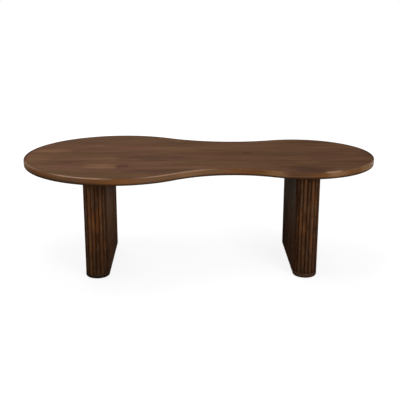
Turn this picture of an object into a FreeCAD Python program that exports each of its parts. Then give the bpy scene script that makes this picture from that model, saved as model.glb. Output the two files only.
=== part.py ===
import FreeCAD, Part
import math
import os
import Sketcher

# Coffee table: a peanut-shaped solid wood top on two reeded slab legs.
# Millimetres. X runs along the top, Y from the front edge to the rear edge, Z up.
# The origin lies on the floor, under the middle of the top's length.

DRIVING = [
    ("table_height", "406", "floor to the top's upper face"),
    ("left_lobe_radius", "343", "larger end of the top"),
    ("right_lobe_radius", "265", "smaller end of the top"),
    ("lobe_spacing", "662", "between the centres of the two ends"),
    ("front_waist_radius", "336", "hollow of the front edge"),
    ("rear_waist_radius", "476", "hollow of the rear edge"),
    ("top_thickness", "25", "solid wood panel"),
    ("top_arris", "4", "rounding of the panel's upper edge"),
    ("under_arris", "6", "rounding of the panel's lower edge"),
    ("flat_share", "0.586", "of a rounding's radius, taken by the one flat that touches it"),
    ("second_flat_share", "0.215", "of a rounding's radius, taken by the flats beside the first"),
    ("left_leg_reach", "73", "left leg outwards from its lobe's centre"),
    ("right_leg_reach", "7", "right leg outwards from its lobe's centre"),
    ("leg_width", "85", "over the crests of the reeds"),
    ("leg_run", "326", "straight part of the leg, between its round ends"),
    ("reeds_per_side", "22", "count on each straight side"),
    ("reeds_per_end", "9", "count round each half-round end"),
    ("left_phase_share", "0.5", "how far the left leg's reeds are stepped on, in reeds"),
    ("right_phase_share", "0", "how far the right leg's reeds are stepped on, in reeds"),
    ("reed_thickness", "6", "at the crest"),
    ("reed_edge", "2", "at the groove"),
    ("reed_flats", "6", "flats across the round front of each reed"),
    ("panel_thickness", "12", "plywood side panels under the reeds"),
    ("top_rail_height", "70", "solid block under the mounting plate"),
    ("middle_rail_height", "30", "spacer block half-way up"),
    ("bottom_rail_height", "50", "solid block above the plinth"),
    ("plinth_thickness", "16", "plain foot of the leg"),
    ("plinth_round", "7", "rounding of the plinth's lower edge"),
    ("plate_thickness", "3", "steel mounting plate"),
    ("plate_flange", "26", "plate beyond the leg on each side"),
    ("plate_end", "8", "plate beyond the leg at each end"),
    ("plate_corner", "30", "corner radius of the plate"),
    ("bolt_edge", "12", "bolt hole to the plate's long edge"),
    ("bolt_pitch", "300", "between bolts along the plate"),
    ("bolt_diameter", "6", "hexagon-head machine bolt into the top"),
    ("bolt_hole", "7", "clearance hole in the plate"),
    ("bolt_engagement", "11", "bolt inside its insert"),
    ("bolt_head", "10", "across the flats of the hexagon"),
    ("bolt_head_height", "4", "hexagon head"),
    ("washer_diameter", "14", "flat washer"),
    ("washer_bore", "6.4", "flat washer"),
    ("washer_thickness", "1.2", "flat washer"),
    ("insert_diameter", "10", "threaded insert, flush with the panel's underside"),
    ("insert_length", "13", "threaded insert"),
    ("screw_column", "12", "rail screws and dowels, from the leg's middle"),
    ("plate_screw_pitch", "240", "between screws along the plate"),
    ("plate_screw_diameter", "4.5", "countersunk wood screw"),
    ("plate_screw_head", "9", "countersunk head's diameter"),
    ("plate_screw_length", "40", "countersunk wood screw"),
    ("plinth_screw_pitch", "130", "between screws along the plinth"),
    ("plinth_screw_diameter", "5", "countersunk wood screw"),
    ("plinth_screw_head", "10", "countersunk head's diameter"),
    ("plinth_screw_length", "45", "countersunk wood screw"),
    ("screw_tip", "5", "length of a wood screw's point"),
    ("screw_point", "0.6", "blunt end of a wood screw's point"),
    ("dowel_diameter", "8", "between the rails and the end posts"),
    ("dowel_length", "40", "between the rails and the end posts"),
    ("glide_diameter", "24", "stick-on felt glide"),
    ("glide_height", "2", "floor to the plinth"),
    ("glide_column", "22", "glides, from the leg's middle"),
    ("glide_row", "150", "glides, from the leg's middle"),
    ("fit", "0.1", "gap all round a pin in its hole"),
    ("hole_end", "1", "free depth past the end of a pin"),
    ("overrun", "1", "how far a cut runs past the face it leaves by"),
    ("touching", "0.001", "two places nearer than this are one"),
    ("pin_flats", "8", "flats round each small pin and its hole"),
]

DERIVED = [
    ("top_length", "=left_lobe_radius + lobe_spacing + right_lobe_radius"),
    ("left_lobe_x", "=left_lobe_radius - top_length / 2"),
    ("right_lobe_x", "=top_length / 2 - right_lobe_radius"),
    ("left_leg_x", "=left_lobe_x - left_leg_reach"),
    ("right_leg_x", "=right_lobe_x + right_leg_reach"),
    ("top_under", "=table_height - top_thickness"),
    ("leg_top", "=top_under - plate_thickness"),
    ("leg_base", "=glide_height + plinth_thickness"),
    ("leg_height", "=leg_top - leg_base"),
    ("core_width", "=leg_width - 2 * reed_thickness"),
    ("rail_width", "=core_width - 2 * panel_thickness"),
    ("top_rail_base", "=leg_height - top_rail_height"),
    ("middle_rail_base", "=(bottom_rail_height + top_rail_base - middle_rail_height) / 2"),
    ("bolt_column", "=leg_width / 2 + plate_flange - bolt_edge"),
    ("bolt_seat", "=leg_top - washer_thickness"),
    ("bolt_length", "=washer_thickness + plate_thickness + bolt_engagement"),
    ("plate_screw_drop", "=(plate_screw_head - plate_screw_diameter) / 2"),
    ("plinth_screw_drop", "=(plinth_screw_head - plinth_screw_diameter) / 2"),
]

RAIL_BASES = {"top": "Sizes.top_rail_base", "middle": "Sizes.middle_rail_base", "bottom": "0"}
DOWELLED = ("top", "bottom")
SIDES = ("left", "right")

doc = FreeCAD.newDocument("CoffeeTable")
sizes = doc.addObject("Spreadsheet::Sheet", "Sizes")
parts = []


def fill_sheet():
    """Write every size into the sheet: its name, its value under an alias, and what it is."""
    row = 1
    for name, value, note in DRIVING:
        sizes.set(f"A{row}", name)
        sizes.set(f"B{row}", value)
        sizes.setAlias(f"B{row}", name)
        sizes.set(f"C{row}", note)
        row += 1
    for name, formula in DERIVED:
        sizes.set(f"A{row}", name)
        sizes.set(f"B{row}", formula)
        sizes.setAlias(f"B{row}", name)
        row += 1
    doc.recompute()


def size(name):
    """A size from the sheet as a plain number."""
    return float(sizes.get(name))


def value(expression):
    """What an expression in the sheet's names comes to."""
    return float(sizes.evalExpression(expression))


# Sketch helpers

def new_body(label):
    body = doc.addObject("PartDesign::Body", label)
    body.Label = label
    return body


def new_sketch(body, name, role="XY_Plane", raised=None):
    """A sketch on one of the body's own origin planes, raised along its normal if asked."""
    plane = next(item for item in body.Origin.OriginFeatures if item.Role == role)
    sketch = body.newObject("Sketcher::SketchObject", name)
    sketch.AttachmentSupport = [(plane, "")]
    sketch.MapMode = "FlatFace"
    if raised:
        sketch.setExpression("AttachmentOffset.Base.z", raised)
    return sketch


def bind(sketch, constraint, expression):
    """Add a dimension whose value follows an expression."""
    index = sketch.addConstraint(constraint)
    sketch.setExpression(f"Constraints[{index}]", expression)


def pin(sketch, item, vertex, x, y):
    """Hold a vertex at two expressions, measured from the sketch's origin."""
    for kind, axis, expression in (("DistanceX", -2, x), ("DistanceY", -1, y)):
        if expression == "0":
            sketch.addConstraint(Sketcher.Constraint("PointOnObject", item, vertex, axis))
        else:
            distance = Sketcher.Constraint(kind, -1, 1, item, vertex, value(expression))
            bind(sketch, distance, expression)


def polygon(sketch, corners):
    """A closed outline of straight sides, its corners given as pairs of expressions."""
    points = [FreeCAD.Vector(value(x), value(y), 0) for x, y in corners]
    count = len(points)
    first = sketch.GeometryCount
    for corner in range(count):
        sketch.addGeometry(Part.LineSegment(points[corner], points[(corner + 1) % count]))
    for corner in range(count):
        following = first + (corner + 1) % count
        sketch.addConstraint(Sketcher.Constraint("Coincident", first + corner, 2, following, 1))
    for corner, (x, y) in enumerate(corners):
        pin(sketch, first + corner, 1, x, y)


def rectangle(sketch, across, along):
    """A rectangle centred on the sketch's origin, given half its width and half its length."""
    left, front = f"-({across})", f"-({along})"
    polygon(sketch, [(left, front), (across, front), (across, along), (left, along)])


def rounds(sketch, spots, radius, flats=None):
    """Small round outlines, one at each spot, drawn with flats that lie at the radius."""
    step = 360 / (flats or size("pin_flats"))
    for x, y in spots:
        corners = []
        for number in range(round(360 / step)):
            reach = f"({radius}) / cos({step / 2} deg)"
            angle = f"{step * (number + 0.5)} deg"
            corners.append((f"{x} + {reach} * cos({angle})", f"{y} + {reach} * sin({angle})"))
        polygon(sketch, corners)


def arc(sketch, centre, radius, start, end):
    """An arc turned anticlockwise from one angle to the other, in radians."""
    turned = Part.ArcOfCircle(Part.Circle(centre, FreeCAD.Vector(0, 0, 1), radius), start, end)
    return sketch.addGeometry(turned)


def pad(body, sketch, length):
    feature = body.newObject("PartDesign::Pad", "Pad")
    feature.Profile = sketch
    feature.setExpression("Length", length)
    return feature


def pocket(body, sketch, depth, along_normal=True):
    """A blind cut of a given depth, along the sketch's normal or against it."""
    feature = body.newObject("PartDesign::Pocket", "Pocket")
    feature.Profile = sketch
    feature.Reversed = along_normal
    feature.setExpression("Length", depth)
    return feature


def stack(body, levels):
    """A straight-sided solid through small round outlines, given as height and radius pairs."""
    outlines = []
    for height, radius in levels:
        outline = new_sketch(body, "Level", raised=height)
        rounds(outline, [("0", "0")], radius)
        outlines.append(outline)
    feature = body.newObject("PartDesign::AdditiveLoft", "Stack")
    feature.Profile = outlines[0]
    feature.Sections = outlines[1:]
    feature.Ruled = True
    return feature


def edges_at(feature, height, longest=None):
    """The names of a feature's edges that lie flat at a height, and no longer than a limit."""
    doc.recompute()
    near = size("touching")
    names = []
    for number, edge in enumerate(feature.Shape.Edges, start=1):
        box = edge.BoundBox
        flat = abs(box.ZMin - height) < near and abs(box.ZMax - height) < near
        if flat and (longest is None or edge.Length < longest):
            names.append(f"Edge{number}")
    return names


def dress(body, kind, base, names, amount):
    """A Fillet or Chamfer of the named edges."""
    feature = body.newObject(f"PartDesign::{kind}", kind)
    feature.Base = (base, names)
    feature.setExpression("Radius" if kind == "Fillet" else "Size", amount)
    return feature


def place(item, x, z, half_turn=False):
    """Put a sub-part at expressions for X and Z, turned to face the rear if asked."""
    if half_turn:
        item.Placement.Rotation = FreeCAD.Rotation(FreeCAD.Vector(0, 0, 1), 180)
    item.setExpression("Placement.Base.x", x)
    item.setExpression("Placement.Base.z", z)
    parts.append(item)


# Spots of the fasteners, as expressions round a leg's own axis

def grid(column, rows):
    """Spots in two columns, at each of the rows."""
    return [(f"{sign}Sizes.{column}", row) for row in rows for sign in ("-", "")]


BOLT_SPOTS = grid("bolt_column", ("-Sizes.bolt_pitch / 2", "Sizes.bolt_pitch / 2"))
PLATE_SCREW_ROWS = ("-Sizes.plate_screw_pitch / 2", "Sizes.plate_screw_pitch / 2")
PLATE_SCREW_SPOTS = grid("screw_column", PLATE_SCREW_ROWS)
PLINTH_SCREW_ROWS = ("-Sizes.plinth_screw_pitch", "0", "Sizes.plinth_screw_pitch")
PLINTH_SCREW_SPOTS = [("0", row) for row in PLINTH_SCREW_ROWS]
GLIDE_SPOTS = grid("glide_column", ("-Sizes.glide_row", "Sizes.glide_row"))


def dowel_spots():
    """Dowel centres across and up the ends of the dowelled rails, from the leg's base."""
    spots = []
    for level in DOWELLED:
        middle = f"{RAIL_BASES[level]} + Sizes.{level}_rail_height / 2"
        spots += [("-Sizes.screw_column", middle), ("Sizes.screw_column", middle)]
    return spots


# The top

def waist(radius, sign):
    """Centre of a waist's arc that touches both lobes, in front (-1) or behind (+1)."""
    left = size("left_lobe_radius") + radius
    right = size("right_lobe_radius") + radius
    spacing = size("lobe_spacing")
    along = (left**2 - right**2 + spacing**2) / (2 * spacing)
    return FreeCAD.Vector(size("left_lobe_x") + along, sign * math.sqrt(left**2 - along**2), 0)


def heading(origin, target):
    """The angle from one point to another, in radians."""
    return math.atan2(target.y - origin.y, target.x - origin.x)


def peanut(sketch):
    """Two unequal lobes joined by two hollow waists, each arc running into the next."""
    left = FreeCAD.Vector(size("left_lobe_x"), 0, 0)
    right = FreeCAD.Vector(size("right_lobe_x"), 0, 0)
    front = waist(size("front_waist_radius"), -1)
    rear = waist(size("rear_waist_radius"), 1)
    whole = 2 * math.pi
    arcs = [
        (left, "left_lobe_radius", heading(left, rear), heading(left, front) + whole),
        (front, "front_waist_radius", heading(front, right), heading(front, left)),
        (right, "right_lobe_radius", heading(right, front), heading(right, rear)),
        (rear, "rear_waist_radius", heading(rear, left) + whole, heading(rear, right) + whole),
    ]
    for centre, radius, start, end in arcs:
        arc(sketch, centre, size(radius), start, end)
    for item, vertex, following, its_vertex in ((0, 2, 1, 2), (1, 1, 2, 1), (2, 2, 3, 2), (3, 1, 0, 1)):
        sketch.addConstraint(Sketcher.Constraint("Tangent", item, vertex, following, its_vertex))
    for item, (centre, radius, start, end) in enumerate(arcs):
        bind(sketch, Sketcher.Constraint("Radius", item, size(radius)), f"Sizes.{radius}")
    pin(sketch, 0, 3, "Sizes.left_lobe_x", "0")
    pin(sketch, 2, 3, "Sizes.right_lobe_x", "0")


def top_panel():
    """The peanut-shaped panel with both edges rounded and blind holes for the inserts."""
    body = new_body("top_panel")
    outline = new_sketch(body, "Outline")
    peanut(outline)
    blank = pad(body, outline, "Sizes.top_thickness")
    upper = edges_at(blank, size("top_thickness"))
    eased = dress(body, "Chamfer", blank, upper, "Sizes.top_arris * Sizes.flat_share")
    lower = edges_at(eased, 0)
    dress(body, "Chamfer", eased, lower, "Sizes.under_arris * Sizes.flat_share")
    spots = [(f"Sizes.{side}_leg_x + {x}", y) for side in SIDES for x, y in BOLT_SPOTS]
    bores = new_sketch(body, "InsertBores")
    rounds(bores, spots, "Sizes.insert_diameter / 2 + Sizes.fit")
    pocket(body, bores, "Sizes.insert_length + Sizes.hole_end")
    place(body, "0", "Sizes.top_under")


# The legs

def mounting_plate(side):
    """Steel plate over the leg's top, its flanges bolted up into the panel."""
    body = new_body(f"{side}_mounting_plate")
    outline = new_sketch(body, "Outline")
    across = "Sizes.leg_width / 2 + Sizes.plate_flange"
    along = "(Sizes.leg_run + Sizes.leg_width) / 2 + Sizes.plate_end"
    rectangle(outline, across, along)
    blank = pad(body, outline, "Sizes.plate_thickness")
    doc.recompute()
    upright = [
        f"Edge{number}" for number, edge in enumerate(blank.Shape.Edges, start=1)
        if edge.BoundBox.ZLength > size("plate_thickness") - size("touching")
    ]
    dress(body, "Fillet", blank, upright, "Sizes.plate_corner")
    screws = new_sketch(body, "ScrewHoles")
    rounds(screws, PLATE_SCREW_SPOTS, "Sizes.plate_screw_diameter / 2 + Sizes.fit")
    drilled = pocket(body, screws, "Sizes.plate_thickness + Sizes.overrun")
    rims = edges_at(drilled, size("plate_thickness"), size("plate_screw_diameter"))
    dress(body, "Chamfer", drilled, rims, "Sizes.plate_screw_drop")
    bolts = new_sketch(body, "BoltHoles")
    rounds(bolts, BOLT_SPOTS, "Sizes.bolt_hole / 2")
    pocket(body, bolts, "Sizes.plate_thickness + Sizes.overrun")
    place(body, f"Sizes.{side}_leg_x", "Sizes.leg_top")


def end_post(side, end):
    """Half-round solid post that closes one end of the leg, bored for the rails' dowels."""
    body = new_body(f"{side}_{end}_post")
    outline = new_sketch(body, "HalfRound")
    radius = size("core_width") / 2
    arc(outline, FreeCAD.Vector(0, 0, 0), radius, math.pi, 2 * math.pi)
    diameter = Part.LineSegment(FreeCAD.Vector(radius, 0, 0), FreeCAD.Vector(-radius, 0, 0))
    outline.addGeometry(diameter)
    outline.addConstraint(Sketcher.Constraint("Coincident", 0, 2, 1, 1))
    outline.addConstraint(Sketcher.Constraint("Coincident", 0, 1, 1, 2))
    outline.addConstraint(Sketcher.Constraint("PointOnObject", 0, 1, -1))
    outline.addConstraint(Sketcher.Constraint("PointOnObject", 0, 2, -1))
    pin(outline, 0, 3, "0", "0")
    bind(outline, Sketcher.Constraint("Radius", 0, radius), "Sizes.core_width / 2")
    pad(body, outline, "Sizes.leg_height")
    bores = new_sketch(body, "DowelBores", "XZ_Plane")
    rounds(bores, dowel_spots(), "Sizes.dowel_diameter / 2 + Sizes.fit")
    pocket(body, bores, "Sizes.dowel_length / 2 + Sizes.hole_end")
    place(body, f"Sizes.{side}_leg_x", "Sizes.leg_base", half_turn=end == "rear")
    sign = "-" if end == "front" else ""
    body.setExpression("Placement.Base.y", f"{sign}Sizes.leg_run / 2")


def side_panel(side, face):
    """Plywood board between the end posts, the ground for the reeds of one straight side."""
    board = doc.addObject("Part::Box", f"{side}_{face}_panel")
    board.Label = f"{side}_{face}_panel"
    board.setExpression("Length", "Sizes.panel_thickness")
    board.setExpression("Width", "Sizes.leg_run")
    board.setExpression("Height", "Sizes.leg_height")
    toward_right = (side == "left") == (face == "inner")
    inset = "Sizes.rail_width / 2" if toward_right else "-Sizes.core_width / 2"
    place(board, f"Sizes.{side}_leg_x + {inset}", "Sizes.leg_base")
    board.setExpression("Placement.Base.y", "-Sizes.leg_run / 2")


def rail(side, level):
    """Solid block between the panels, bored for the dowels and screws that hold it."""
    body = new_body(f"{side}_{level}_rail")
    outline = new_sketch(body, "Outline")
    rectangle(outline, "Sizes.rail_width / 2", "Sizes.leg_run / 2")
    height = f"Sizes.{level}_rail_height"
    pad(body, outline, height)
    if level in DOWELLED:
        ends = new_sketch(body, "DowelBores", "XZ_Plane", "Sizes.leg_run / 2")
        spots = [("-Sizes.screw_column", f"{height} / 2"), ("Sizes.screw_column", f"{height} / 2")]
        rounds(ends, spots, "Sizes.dowel_diameter / 2 + Sizes.fit")
        front = pocket(body, ends, "Sizes.dowel_length / 2 + Sizes.hole_end", along_normal=False)
        both = body.newObject("PartDesign::Mirrored", "BothEnds")
        both.Originals = [front]
        plane = next(item for item in body.Origin.OriginFeatures if item.Role == "XZ_Plane")
        both.MirrorPlane = (plane, [""])
        body.Tip = both
    if level == "top":
        pilots = new_sketch(body, "ScrewPilots", raised=height)
        rounds(pilots, PLATE_SCREW_SPOTS, "Sizes.plate_screw_diameter / 2 + Sizes.fit")
        depth = "Sizes.plate_screw_length - Sizes.plate_thickness + Sizes.hole_end"
        pocket(body, pilots, depth, along_normal=False)
    if level == "bottom":
        pilots = new_sketch(body, "ScrewPilots")
        rounds(pilots, PLINTH_SCREW_SPOTS, "Sizes.plinth_screw_diameter / 2 + Sizes.fit")
        pocket(body, pilots, "Sizes.plinth_screw_length - Sizes.plinth_thickness + Sizes.hole_end")
    place(body, f"Sizes.{side}_leg_x", f"Sizes.leg_base + {RAIL_BASES[level]}")


def plinth(side):
    """Plain round-ended foot, flush with the reeds' crests, its lower edge well rounded."""
    body = new_body(f"{side}_plinth")
    outline = new_sketch(body, "RoundEnded")
    radius = size("leg_width") / 2
    half = size("leg_run") / 2
    left_side = Part.LineSegment(FreeCAD.Vector(-radius, half, 0), FreeCAD.Vector(-radius, -half, 0))
    right_side = Part.LineSegment(FreeCAD.Vector(radius, -half, 0), FreeCAD.Vector(radius, half, 0))
    arc(outline, FreeCAD.Vector(0, half, 0), radius, 0, math.pi)
    outline.addGeometry(left_side)
    arc(outline, FreeCAD.Vector(0, -half, 0), radius, math.pi, 2 * math.pi)
    outline.addGeometry(right_side)
    for item in range(4):
        outline.addConstraint(Sketcher.Constraint("Tangent", item, 2, (item + 1) % 4, 1))
    pin(outline, 0, 3, "0", "Sizes.leg_run / 2")
    pin(outline, 2, 3, "0", "-Sizes.leg_run / 2")
    bind(outline, Sketcher.Constraint("Radius", 0, radius), "Sizes.leg_width / 2")
    blank = pad(body, outline, "Sizes.plinth_thickness")
    first = dress(body, "Chamfer", blank, edges_at(blank, 0), "Sizes.plinth_round * Sizes.flat_share")
    rims = edges_at(first, 0) + edges_at(first, size("plinth_round") * size("flat_share"))
    dress(body, "Chamfer", first, rims, "Sizes.plinth_round * Sizes.second_flat_share")
    screws = new_sketch(body, "ScrewHoles")
    rounds(screws, PLINTH_SCREW_SPOTS, "Sizes.plinth_screw_diameter / 2 + Sizes.fit")
    drilled = pocket(body, screws, "Sizes.plinth_thickness + Sizes.overrun")
    rims = edges_at(drilled, 0, size("plinth_screw_diameter"))
    dress(body, "Chamfer", drilled, rims, "Sizes.plinth_screw_drop")
    place(body, f"Sizes.{side}_leg_x", "Sizes.glide_height")


# The reeds

def round_core(count, outward):
    """A point round the leg's core, counted in reeds from the front of its right side.

    The count goes up the right side, round the rear end, down the left side and round
    the front end. Outward is the distance from the core's face.
    """
    side_count = size("reeds_per_side")
    end_count = size("reeds_per_end")
    half = size("leg_run") / 2
    reach = size("core_width") / 2 + outward
    lap = count % (2 * (side_count + end_count))
    flip = 1
    if lap >= side_count + end_count:
        lap -= side_count + end_count
        flip = -1
    if lap <= side_count:
        return FreeCAD.Vector(flip * reach, flip * (2 * lap / side_count - 1) * half, 0)
    angle = math.pi * (lap - side_count) / end_count
    return FreeCAD.Vector(flip * reach * math.cos(angle), flip * (half + reach * math.sin(angle)), 0)


def back_edges(start, end):
    """The back of a reed along the core's face, split where a straight side meets a round end."""
    half_lap = size("reeds_per_side") + size("reeds_per_end")
    joints = [lap * half_lap + part for lap in range(3) for part in (0, size("reeds_per_side"))]
    stops = [start] + [joint for joint in joints if start < joint < end] + [end]
    edges = []
    for near, far in zip(stops, stops[1:]):
        middle = (near + far) / 2
        first, last = round_core(near, 0), round_core(far, 0)
        if middle % half_lap < size("reeds_per_side"):
            edges.append(Part.LineSegment(first, last).toShape())
        else:
            edges.append(Part.Arc(first, round_core(middle, 0), last).toShape())
    return edges


def reed(start, end):
    """One strip of cladding: thin at both grooves, its round front laid out in narrow flats."""
    rim = size("reed_edge")
    crest = round_core((start + end) / 2, size("reed_thickness"))
    front = Part.Arc(round_core(start, rim), crest, round_core(end, rim)).toShape()
    corners = [round_core(start, 0)]
    corners += front.discretize(round(size("reed_flats")) + 1)
    corners.append(round_core(end, 0))
    edges = [Part.LineSegment(near, far).toShape() for near, far in zip(corners, corners[1:])]
    outline = Part.Wire(Part.__sortEdges__(edges + back_edges(start, end)))
    return Part.Face(outline).extrude(FreeCAD.Vector(0, 0, size("leg_height")))


def reeds(side):
    """The strips all round one leg, edge to edge, glued to the panels and posts."""
    phase = size(f"{side}_phase_share")
    count = round(2 * (size("reeds_per_side") + size("reeds_per_end")))
    strips = [reed(number + phase, number + 1 + phase) for number in range(count)]
    cladding = doc.addObject("Part::Feature", f"{side}_reeds")
    cladding.Label = f"{side}_reeds"
    cladding.Shape = Part.makeCompound(strips)
    cladding.Placement.Base = FreeCAD.Vector(size(f"{side}_leg_x"), 0, size("leg_base"))
    parts.append(cladding)


# Fasteners and glides, each modelled once and then set out

def group(label, piece, spots, height, rotation=None):
    """Copies of one piece at spots of X, Y and extra height, as one sub-part."""
    doc.recompute()
    copies = []
    for x, y, up in spots:
        copy = piece.Shape.copy()
        copy.Placement = FreeCAD.Placement(FreeCAD.Vector(x, y, up), rotation or FreeCAD.Rotation())
        copies.append(copy)
    item = doc.addObject("Part::Feature", label)
    item.Label = label
    item.Shape = Part.makeCompound(copies)
    item.Placement.Base = FreeCAD.Vector(0, 0, height)
    parts.append(item)


def on_both_legs(spots):
    """The same spots round the axis of each leg, as numbers."""
    return [(size(f"{side}_leg_x") + value(x), value(y), 0) for side in SIDES for x, y in spots]


def wood_screw(name):
    """Countersunk screw hanging from the middle of its head, with a pointed end."""
    body = new_body(f"{name}_piece")
    shank = f"Sizes.{name}_diameter / 2"
    stack(body, [
        ("0", f"Sizes.{name}_head / 2"),
        (f"-Sizes.{name}_drop", shank),
        (f"Sizes.screw_tip - Sizes.{name}_length", shank),
        (f"-Sizes.{name}_length", "Sizes.screw_point / 2"),
    ])
    return body


def bolt():
    """Hexagon-head bolt, its head hanging below the seat and its shank standing above."""
    body = new_body("bolt_piece")
    head = new_sketch(body, "Head", raised="-Sizes.bolt_head_height")
    rounds(head, [("0", "0")], "Sizes.bolt_head / 2", flats=6)
    pad(body, head, "Sizes.bolt_head_height")
    shank = new_sketch(body, "Shank")
    rounds(shank, [("0", "0")], "Sizes.bolt_diameter / 2")
    pad(body, shank, "Sizes.bolt_length")
    return body


def sleeve(name, bore, outside, length):
    """A ring or tube standing on its lower face."""
    body = new_body(name)
    section = new_sketch(body, "Section")
    rounds(section, [("0", "0")], outside)
    rounds(section, [("0", "0")], bore)
    pad(body, section, length)
    return body


def rod(name, radius, length):
    """A plain round pin or disc standing on its lower face."""
    body = new_body(name)
    section = new_sketch(body, "Section")
    rounds(section, [("0", "0")], radius)
    pad(body, section, length)
    return body


def fasteners():
    """Everything that is set out in numbers: inserts, bolts, washers, screws, dowels, glides."""
    bolts = on_both_legs(BOLT_SPOTS)
    thread = "Sizes.bolt_diameter / 2 + Sizes.fit"
    insert = sleeve("insert_piece", thread, "Sizes.insert_diameter / 2", "Sizes.insert_length")
    washer_size = ("Sizes.washer_bore / 2", "Sizes.washer_diameter / 2", "Sizes.washer_thickness")
    group("top_inserts", insert, bolts, size("top_under"))
    group("plate_washers", sleeve("washer_piece", *washer_size), bolts, size("bolt_seat"))
    group("plate_bolts", bolt(), bolts, size("bolt_seat"))
    group("plate_screws", wood_screw("plate_screw"), on_both_legs(PLATE_SCREW_SPOTS), size("top_under"))
    upside_down = FreeCAD.Rotation(FreeCAD.Vector(1, 0, 0), 180)
    screw = wood_screw("plinth_screw")
    group("plinth_screws", screw, on_both_legs(PLINTH_SCREW_SPOTS), size("glide_height"), upside_down)
    glide = rod("glide_piece", "Sizes.glide_diameter / 2", "Sizes.glide_height")
    group("floor_glides", glide, on_both_legs(GLIDE_SPOTS), 0)
    dowel = rod("dowel_piece", "Sizes.dowel_diameter / 2", "Sizes.dowel_length")
    lying = FreeCAD.Rotation(FreeCAD.Vector(1, 0, 0), 90)
    rows = [sign * size("leg_run") / 2 + size("dowel_length") / 2 for sign in (-1, 1)]
    spots = [
        (size(f"{side}_leg_x") + value(x), row, value(z))
        for side in SIDES for row in rows for x, z in dowel_spots()
    ]
    group("rail_dowels", dowel, spots, size("leg_base"), lying)


def check():
    """Stop on any failed object, bad solid, or cut that removed nothing."""
    for item in doc.Objects:
        if "Invalid" in item.State or "Error" in item.State:
            raise RuntimeError(f"{item.Label} failed: {item.State}")
        if item.TypeId == "PartDesign::Pocket":
            if item.Shape.Volume >= item.BaseFeature.Shape.Volume:
                raise RuntimeError(f"{item.Label} cut nothing")
    for item in parts:
        if item.Shape.isNull() or not item.Shape.isValid():
            raise RuntimeError(f"{item.Label} has no valid shape")


def build():
    fill_sheet()
    top_panel()
    for side in SIDES:
        mounting_plate(side)
        for level in RAIL_BASES:
            rail(side, level)
        for end in ("front", "rear"):
            end_post(side, end)
        for face in ("inner", "outer"):
            side_panel(side, face)
        reeds(side)
        plinth(side)
    fasteners()
    doc.recompute()
    check()
    os.makedirs("parts", exist_ok=True)
    for item in parts:
        item.Shape.exportStep(f"parts/{item.Label}.step")
        print(f"{item.Label}: {len(item.Shape.Solids)} solids, {item.Shape.Volume / 1000:.1f} cm3")


build()
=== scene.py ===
import math

import bmesh
import bpy
from mathutils import Matrix, Vector


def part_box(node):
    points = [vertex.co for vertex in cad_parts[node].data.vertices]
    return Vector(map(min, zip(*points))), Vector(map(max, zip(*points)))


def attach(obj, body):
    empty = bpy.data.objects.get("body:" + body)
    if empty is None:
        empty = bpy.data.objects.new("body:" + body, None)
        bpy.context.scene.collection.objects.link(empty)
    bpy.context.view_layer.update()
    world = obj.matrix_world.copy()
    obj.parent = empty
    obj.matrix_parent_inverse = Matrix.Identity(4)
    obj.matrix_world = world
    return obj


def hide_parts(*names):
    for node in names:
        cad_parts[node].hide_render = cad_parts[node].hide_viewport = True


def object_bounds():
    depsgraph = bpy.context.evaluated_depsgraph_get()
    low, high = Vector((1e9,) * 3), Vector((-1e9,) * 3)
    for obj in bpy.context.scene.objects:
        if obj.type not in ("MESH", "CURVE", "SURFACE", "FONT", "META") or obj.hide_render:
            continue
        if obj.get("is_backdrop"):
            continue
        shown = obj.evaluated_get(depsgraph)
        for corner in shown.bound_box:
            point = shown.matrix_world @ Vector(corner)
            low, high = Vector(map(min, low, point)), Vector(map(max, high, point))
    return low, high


# A coffee table: a peanut-shaped solid wood top on two slab legs with round ends, clad in reeds.
# Metres, in the row frame: X along the top towards its smaller end, Y to the rear, Z up.
# Each piece made here has full rounds and stands where the node stands that it replaces.

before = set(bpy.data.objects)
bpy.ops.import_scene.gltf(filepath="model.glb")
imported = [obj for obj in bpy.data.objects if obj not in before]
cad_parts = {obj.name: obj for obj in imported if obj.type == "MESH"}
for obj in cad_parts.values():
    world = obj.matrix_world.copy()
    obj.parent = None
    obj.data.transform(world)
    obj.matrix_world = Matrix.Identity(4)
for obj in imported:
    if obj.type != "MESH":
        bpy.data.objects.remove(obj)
CAD_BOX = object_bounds()

# Nothing moves, so there is one body
BODY = "root"
SIDES = ("left", "right")

# The top's outline, beyond what its box gives, and the rounding of its edges
RIGHT_LOBE = 0.265
FRONT_WAIST = 0.336
REAR_WAIST = 0.476
TOP_ARRIS = 0.004
UNDER_ARRIS = 0.006

# The rim along the rear, darkened by painted shade, and the share of it that is fully dark
RIM_WIDTH = 0.010
RIM_FULL_SHARE = 0.4

# How squarely the edge faces the rear, for the rim, or along X, for the end grain: start and full
REAR_FACING = (-0.35, 0.15)
END_FACING = (0.5, 1.0)

# The share of the upper rounding that can take the painted highlight
ARRIS_SHARE = 0.6

# The legs
LEG_RUN = 0.326
REED_THICKNESS = 0.006
REED_EDGE = 0.002
REED_GAP = 0.00012
REEDS_PER_SIDE = 22
REEDS_PER_END = 9
HALF_LAP = REEDS_PER_SIDE + REEDS_PER_END
REED_PHASES = {"left": 0.5, "right": 0.0}
PLINTH_ROUND = 0.007
PLINTH_EASE = 0.0012

# Steps the tone from strip to strip, so that neighbours differ
GOLDEN_SHARE = 0.618034

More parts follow.
